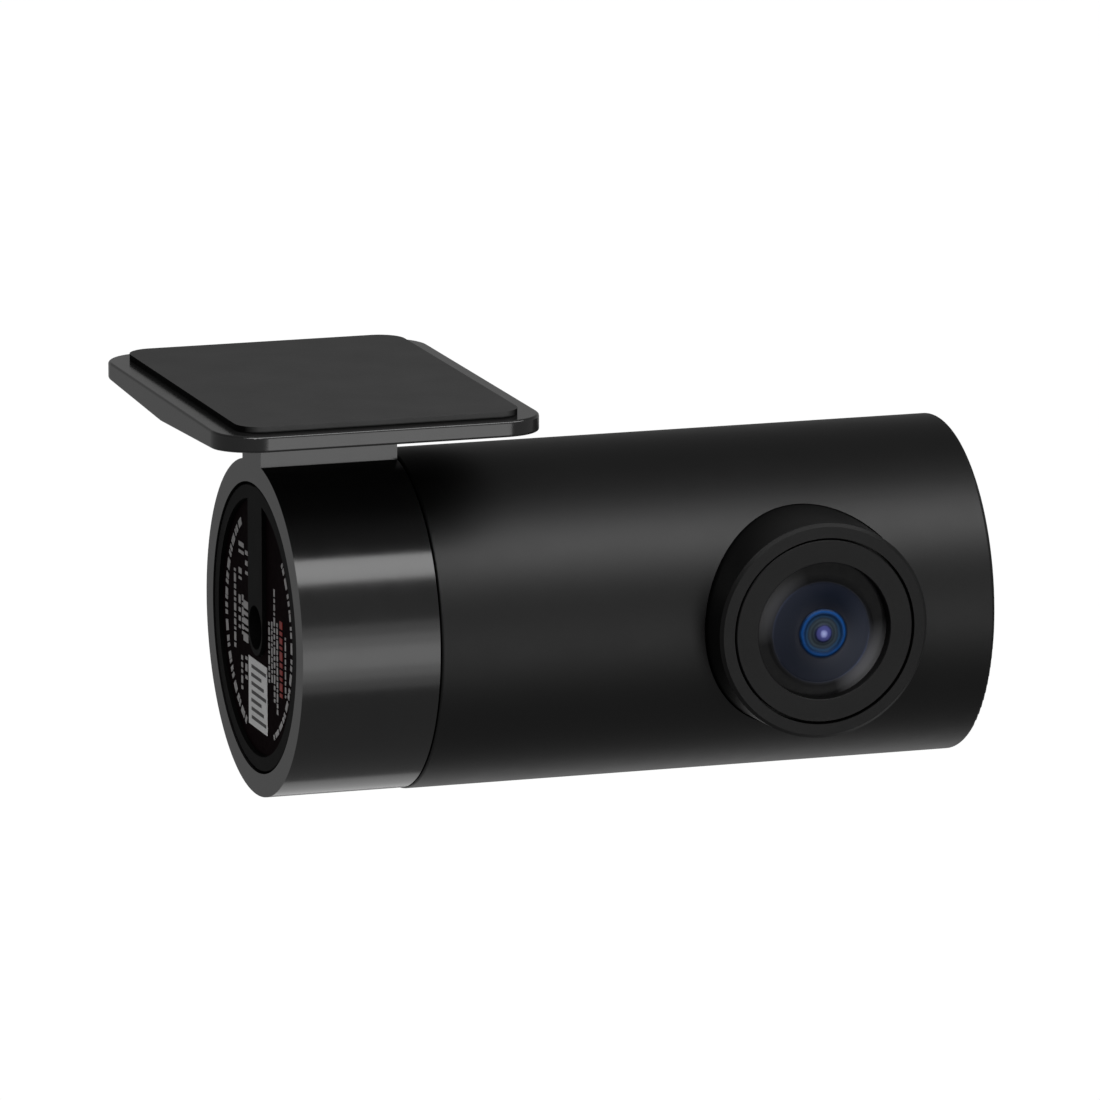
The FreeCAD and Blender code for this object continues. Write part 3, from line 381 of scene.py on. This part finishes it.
# ---------------------------------------------------------------- front lens

GLASS_SAG = 1.45
BEAD_R = 0.78
BEAD_DEPTH = 0.30
BEAD_RISE = 0.16
CONE_R = 4.68
RIM_START = 4.76
RIM_R = 6.37
RIM_DEPTH = 0.86
SHARP_ANGLE = math.radians(38)
LATHE_STEPS = 128
# Dish, blue ring and cone: (inner radius, outer radius, steps, depth under the dome, crown).
ZONES = [(0.90, 1.62, 6, 0.34, -0.06), (1.70, 2.26, 8, 0.30, 0.12), (2.36, CONE_R, 14, 0.26, 0.05)]


def glass_drop(radius):
    """How far the domed front has fallen away from its top at a radius, in millimetres."""
    curve = (GLASS_R ** 2 + GLASS_SAG ** 2) / (2 * GLASS_SAG)
    return curve - math.sqrt(curve ** 2 - radius ** 2)


def zone(start, end, steps, sunk, crown):
    """A stretch of the dome, sunk a little, that swells by crown between its edges."""
    places = []
    for i in range(steps + 1):
        share = i / steps
        radius = start + (end - start) * share
        places.append((radius, glass_drop(radius) + sunk - crown * 4 * share * (1 - share)))
    return places


def optics_profile():
    """(radius, depth below the dome's top) from the axis out to the rim and round to the back."""
    turns = [step * math.pi / 16 for step in range(9)]
    profile = [(BEAD_R * math.sin(turn), BEAD_DEPTH - BEAD_RISE * math.cos(turn)) for turn in turns]
    for stretch in ZONES:
        profile += zone(*stretch)
    profile += [(RIM_START, RIM_DEPTH + 0.10), (5.0, RIM_DEPTH + 0.04), (5.6, RIM_DEPTH),
                (RIM_R, RIM_DEPTH + 0.04)]
    back = (glass_high.y - glass_low.y) / MM
    edge = GLASS_SAG + 0.05
    return profile + [(RIM_R, edge), (GLASS_R, edge), (GLASS_R, back), (0.0, back)]


def finished_piece(name, build, material):
    """A mesh piece from a finished bmesh, riding on the camera."""
    mesh = bpy.data.meshes.new(name)
    build.to_mesh(mesh)
    build.free()
    mesh.materials.append(material)
    piece = bpy.data.objects.new(name, mesh)
    bpy.context.scene.collection.objects.link(piece)
    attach(piece, "camera")
    return piece


def front_optics():
    """The front lens as one turned piece: blackened rim, cone, blue ring, dish and middle bead."""
    build = bmesh.new()
    rows = []
    for radius, depth in optics_profile():
        y = glass_low.y + depth * MM
        centring = min(max((radius - CONE_R) / (GLASS_R - CONE_R), 0.0), 1.0)
        x = OPTICS_X + (LENS_X - OPTICS_X) * centring
        z = OPTICS_Z + (LENS_Z - OPTICS_Z) * centring
        turns = [2 * math.pi * i / LATHE_STEPS for i in range(LATHE_STEPS)] if radius else [0.0]
        rows.append([build.verts.new((x + radius * MM * math.cos(turn), y, z + radius * MM * math.sin(turn)))
                     for turn in turns])
    for inner, outer in zip(rows, rows[1:]):
        for i in range(LATHE_STEPS):
            k = (i + 1) % LATHE_STEPS
            corners = [inner[i % len(inner)], outer[i % len(outer)], outer[k % len(outer)],
                       inner[k % len(inner)]]
            build.faces.new(list(dict.fromkeys(corners)))
    bmesh.ops.recalc_face_normals(build, faces=build.faces[:])
    for face in build.faces:
        face.smooth = True
    for edge in build.edges:
        edge.smooth = edge.calc_face_angle(0) < SHARP_ANGLE
    piece = finished_piece("front_optics", build, MATERIALS["front_glass"])
    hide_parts("front_lens_element")


# ---------------------------------------------------------------- generic print on the label

PRINT_LIFT = 0.05 * MM
PRINT_ROOT = 0.02 * MM


def printed_piece(name, outlines, material, lift=PRINT_LIFT):
    """Flat outlines of (y, z) on the label, each a thin closed block that stands off the film."""
    build = bmesh.new()
    for outline in outlines:
        face = build.faces.new([build.verts.new((label_low.x + PRINT_ROOT, y, z)) for y, z in outline])
        grown = bmesh.ops.extrude_face_region(build, geom=[face])
        moved = [item for item in grown["geom"] if isinstance(item, bmesh.types.BMVert)]
        bmesh.ops.translate(build, vec=(-lift - PRINT_ROOT, 0, 0), verts=moved)
    bmesh.ops.recalc_face_normals(build, faces=build.faces[:])
    finished_piece(name, build, material)


def bar(y_mm, z_mm, wide_mm, tall_mm):
    """A bar by its middle, measured from the cable hole: towards the back, and up."""
    return [((y_mm + side * wide_mm / 2) * MM, AXIS_Z + (z_mm + up * tall_mm / 2) * MM)
            for side, up in ((-1, -1), (1, -1), (1, 1), (-1, 1))]


def arc_bar(radius_mm, angle, long_mm, thick_mm):
    """A short bar along a circle about the cable hole; angle 0 points to the back."""
    turn = long_mm / radius_mm / 2
    reach = [(radius_mm + step * thick_mm) * MM for step in (-0.5, 0.5)]
    places = [(reach[0], -turn), (reach[0], turn), (reach[1], turn), (reach[1], -turn)]
    return [(far * math.cos(angle + swing), AXIS_Z + far * math.sin(angle + swing))
            for far, swing in places]


# Lengths of the dashes in a row, in millimetres, taken in turn.
DASHES = (0.45, 0.3, 0.7, 0.35, 0.55, 0.25, 0.8, 0.4)
ARC_GAP = 0.28
# Straight columns: (towards the back, top, bottom, width, gap), in millimetres.
COLUMNS = [
    (7.7, 4.0, -3.6, 0.55, 0.22), (5.6, 6.9, 5.0, 1.6, 0.35), (6.0, 4.4, 3.0, 0.9, 0.3),
    (5.2, 2.0, -2.6, 0.5, 0.2), (6.2, 1.8, -2.2, 0.6, 0.4), (3.9, 6.4, 3.2, 0.8, 0.55),
    (4.2, 1.6, -2.6, 1.5, 0.3), (5.5, -3.8, -7.4, 0.5, 0.25), (4.1, -3.6, -6.2, 0.6, 0.4),
    (-3.3, 1.2, -4.8, 0.35, 0.2), (-4.2, 1.4, -4.4, 0.3, 0.15), (-5.0, 4.6, -6.4, 0.35, 0.2),
    (-5.9, 1.6, -7.0, 0.35, 0.15), (-8.5, 0.8, -5.4, 0.25, 0.2),
]
PATCH_Y = 0.4


def column(y_mm, top, bottom, wide_mm, gap_mm, first):
    """A column of upright dashes of uneven length, from top down to bottom."""
    bars, z_mm, index = [], top, first
    while z_mm - DASHES[index % len(DASHES)] > bottom:
        tall = DASHES[index % len(DASHES)]
        bars.append(bar(y_mm, z_mm - tall / 2, wide_mm, tall))
        z_mm -= tall + gap_mm
        index += 1
    return bars


def curved_row(radius_mm, start, end, thick_mm, first):
    """Dashes along a circle between two angles in degrees."""
    bars, angle, index = [], math.radians(start), first
    while angle < math.radians(end):
        long_mm = DASHES[index % len(DASHES)]
        bars.append(arc_bar(radius_mm, angle, long_mm, thick_mm))
        angle += (long_mm + ARC_GAP) / radius_mm
        index += 1
    return bars


def label_print():
    """Rows of plain bars and a pale patch where a label has its small print."""
    rows = curved_row(10.5, -66, 62, 0.7, 0) + curved_row(10.5, 136, 243, 0.5, 3)
    for y_mm, top, bottom, wide_mm, gap_mm in COLUMNS:
        rows += column(y_mm, top, bottom, wide_mm, gap_mm, int(10 * abs(y_mm)))
    red = column(-7.1, 2.0, -5.6, 0.8, 0.25, 2)
    stripes = [bar(PATCH_Y + 0.4 * (i % 3 - 1), -8.9 + 0.8 * i, 4.6 - 0.7 * (i % 3), 0.32) for i in range(7)]
    printed_piece("label_bars", rows, ink("bar_ink", (0.42, 0.41, 0.41)))
    printed_piece("label_red_bars", red, ink("red_ink", (0.30, 0.020, 0.015)))
    printed_piece("label_patch", [bar(PATCH_Y, -6.5, 5.9, 6.4)], ink("patch_ink", (0.8, 0.8, 0.8)))
    printed_piece("label_patch_bars", stripes, ink("stripe_ink", (0.05, 0.05, 0.05)), 1.6 * PRINT_LIFT)


# ---------------------------------------------------------------- stage, light and camera

FLOOR_Z = -0.45


def world_light():
    """A soft studio surround: a pale room for the eye, a dim graded one for the reflections."""
    world = bpy.data.worlds.new("studio")
    bpy.context.scene.world = world
    world.use_nodes = True
    n = Nodes(world.node_tree)
    way = n.add("ShaderNodeTexCoord").outputs["Generated"]
    height = n.add("ShaderNodeSeparateXYZ", {"Vector": way}).outputs["Z"]
    level = n.ramp(n.span(height, 0.0, 1.0, -1.0, 1.0), [
        (0.0, grey(0.25)), (0.25, grey(0.20)), (0.5, grey(0.34)), (0.62, grey(0.24)),
        (0.8, grey(0.13)), (1.0, grey(0.12))])
    dim = n.add("ShaderNodeBackground", {"Color": level, "Strength": 1.0})
    pale = n.add("ShaderNodeBackground", {"Color": (1, 1, 1, 1), "Strength": 1.0})
    seen = n.add("ShaderNodeLightPath").outputs["Is Camera Ray"]
    mix = n.add("ShaderNodeMixShader", {"Fac": seen})
    n.feed(mix.inputs[1], dim.outputs[0])
    n.feed(mix.inputs[2], pale.outputs[0])
    n.add("ShaderNodeOutputWorld", {"Surface": mix.outputs[0]})


def floor():
    """A plain pale floor, well below the part, which hangs from its pad."""
    bpy.ops.mesh.primitive_plane_add(size=40, location=(0, 0, FLOOR_Z))
    piece = bpy.context.object
    piece.name = "pale_floor"
    material, n = new_material("pale_floor")
    place = n.add("ShaderNodeTexCoord").outputs["Object"]
    tone = n.ramp(n.noise(place, 900.0), [(0.3, grey(1.0)), (0.7, grey(0.99))])
    glow = n.add("ShaderNodeEmission", {"Color": tone, "Strength": 1.02})
    n.add("ShaderNodeOutputMaterial", {"Surface": glow.outputs[0]})
    piece.data.materials.append(material)
    piece.visible_diffuse = False
    piece.visible_glossy = False
    piece.visible_transmission = False
    piece.visible_shadow = False


def softbox(name, azimuth, elevation, distance, wide, tall, radiance):
    """A rectangular light, seen from the body's middle at that azimuth and elevation.
    Its power comes from the brightness of its face."""
    light = bpy.data.lights.new(name, "AREA")
    light.shape = "RECTANGLE"
    light.size = wide
    light.size_y = tall
    light.energy = radiance * math.pi * wide * tall
    lamp = bpy.data.objects.new(name, light)
    bpy.context.scene.collection.objects.link(lamp)
    a, e = math.radians(azimuth), math.radians(elevation)
    way = Vector((math.sin(a) * math.cos(e), -math.cos(a) * math.cos(e), math.sin(e)))
    lamp.location = MIDDLE + way * distance
    lamp.rotation_euler = way.to_track_quat("Z", "Y").to_euler()


def lights():
    """One broad light above, three stacked ones low in front, and a faint one under the back."""
    softbox("overhead_front", 15, 52, 0.9, 1.6, 0.46, 5.2)
    for i, (tall, radiance) in enumerate(((0.72, 0.75), (0.46, 0.85), (0.22, 0.9))):
        softbox("low_front%d" % i, 18, -12, 0.9 + 0.01 * i, 0.36, tall, radiance)
    softbox("under_back", 160, -42, 0.9, 0.9, 0.5, 0.6)


AIM_ABOVE = 4.89
AIM_LEFT = 6.03


def camera():
    """The photograph's view: a long lens, a little above and to the left of the lens axis."""
    data = bpy.data.cameras.new("camera")
    data.lens = 356.0
    data.sensor_width = 36.0
    data.clip_end = 100
    eye = bpy.data.objects.new("camera", data)
    bpy.context.scene.collection.objects.link(eye)
    azimuth, elevation, distance = math.radians(-18.0), math.radians(12.0), 1.010
    back = Vector((math.sin(azimuth) * math.cos(elevation),
                   -math.cos(azimuth) * math.cos(elevation), math.sin(elevation)))
    right = Vector((math.cos(azimuth), math.sin(azimuth), 0))
    up = back.cross(right)
    aim = MIDDLE + (up * AIM_ABOVE - right * AIM_LEFT) * MM
    eye.location = aim + back * distance
    eye.rotation_euler = back.to_track_quat("Z", "Y").to_euler()
    bpy.context.scene.camera = eye
    bpy.context.scene.view_settings.view_transform = "Standard"


dress_nodes()
front_optics()
label_print()
world_light()
floor()
lights()
camera()
